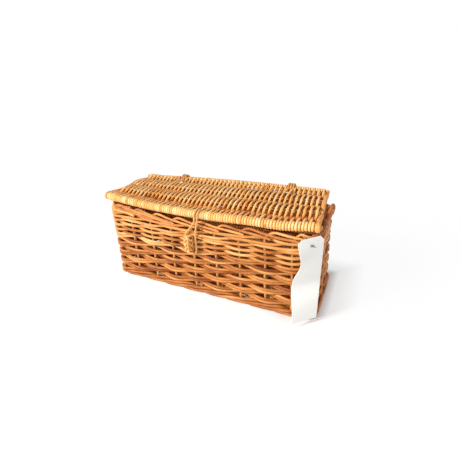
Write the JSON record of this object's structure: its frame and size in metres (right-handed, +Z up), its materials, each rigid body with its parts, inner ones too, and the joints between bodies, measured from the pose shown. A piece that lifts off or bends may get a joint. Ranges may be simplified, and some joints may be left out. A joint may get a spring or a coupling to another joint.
{
  "type": "lidded wicker basket",
  "caption": "Oblong woven willow hamper with rounded corners, a flat hinged square-work lid, a cane loop that drops over a plaited knot, and a blank swing tag.",
  "frame": {"origin": "middle of the underside, on the base weave, level with the floor", "axes": "+X along the length to the right, -Y towards the front with the clasp, +Z up"},
  "size_m": [0.3737, 0.1627, 0.1591],
  "materials": {
    "wall_willow": "buff willow rods, satin",
    "border_willow": "darker buff willow rods, satin",
    "stake": "buff willow uprights, satin",
    "stick": "stout willow sticks, satin",
    "base_willow": "buff willow, matt",
    "lid_willow": "pale honey willow, satin",
    "cane": "pale cane, satin",
    "card": "blank white card, matt",
    "string": "thin twine"
  },
  "bodies": {
    "basket": {"base_sticks": "stick", "base_weave": "base_willow", "front_stakes": "stake", "back_stakes": "stake", "corner_stakes": "stake", "bottom_wale": "wall_willow", "slewing_front": "wall_willow", "slewing_back": "wall_willow", "slewing_ends": "wall_willow", "slewing_corners": "wall_willow", "randing_front": "wall_willow", "randing_back": "wall_willow", "randing_ends": "wall_willow", "randing_corners": "wall_willow", "top_wale": "wall_willow", "border_front": "border_willow", "border_back": "border_willow", "border_corners": "border_willow", "hinge_left": "cane", "hinge_right": "cane", "clasp_knot": "cane", "tag_string": "string"},
    "lid": {"lid_front_stick": "stick", "lid_inner_sticks": "stick", "lid_back_stick": "stick", "lid_weavers": "lid_willow", "lid_end_rods": "lid_willow"},
    "loop": {"clasp_loop": "cane"},
    "tag": {"swing_tag": "card"}
  },
  "joints": [
    {"name": "lid_hinge", "type": "hinge", "parent": "basket", "child": "lid", "pos_m": [0, 0.06202, 0.15152], "axis": [-1, 0, 0], "range_deg": [0, 110], "deforming": ["clasp_loop"]},
    {"name": "loop_swing", "type": "hinge", "parent": "lid", "child": "loop", "pos_m": [0, -0.06145, 0.14795], "axis": [-1, 0, 0], "range_deg": [0, 70]},
    {"name": "tag_swing", "type": "hinge", "parent": "basket", "child": "tag", "pos_m": [0.17379, -0.07667, 0.13189], "axis": [-0.7071, -0.7071, 0], "range_deg": [0, 28]}
  ]
}
